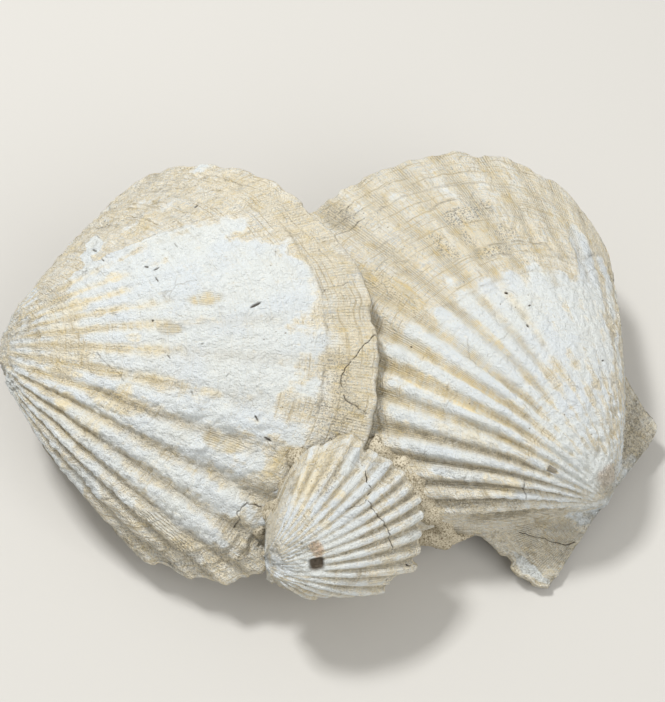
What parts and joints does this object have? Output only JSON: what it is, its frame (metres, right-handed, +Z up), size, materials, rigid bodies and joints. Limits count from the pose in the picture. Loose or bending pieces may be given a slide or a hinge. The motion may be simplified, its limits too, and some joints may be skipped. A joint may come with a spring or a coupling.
{
  "type": "fossil scallop shell cluster",
  "caption": "Cluster of ribbed fan-shaped fossil scallop valves lying outside up, overlapping and cemented together by sandy rock with a small flat foot.",
  "frame": {"origin": "centre of the footprint of the whole cluster, on the surface it stands on", "axes": "+Z up, +X along the cluster's length from the large left valve towards the large right valve's hinge, -Y towards the side with the small valve"},
  "size_m": [0.248, 0.1756, 0.0874],
  "materials": {
    "left_valve_shell": "chalky worn fossil shell, bluish white with cream rim and ochre stains",
    "right_valve_shell": "chalky worn fossil shell, cream with white worn patch and ochre furrows",
    "small_valve_shell": "chalky worn fossil shell, greyish cream with pale ribs",
    "sandy_rock": "rough sandy rock with dark grains"
  },
  "bodies": {
    "root": {"left_valve": "left_valve_shell", "right_valve": "right_valve_shell", "small_valve": "small_valve_shell", "sandy_rock": "sandy_rock"}
  },
  "joints": []
}
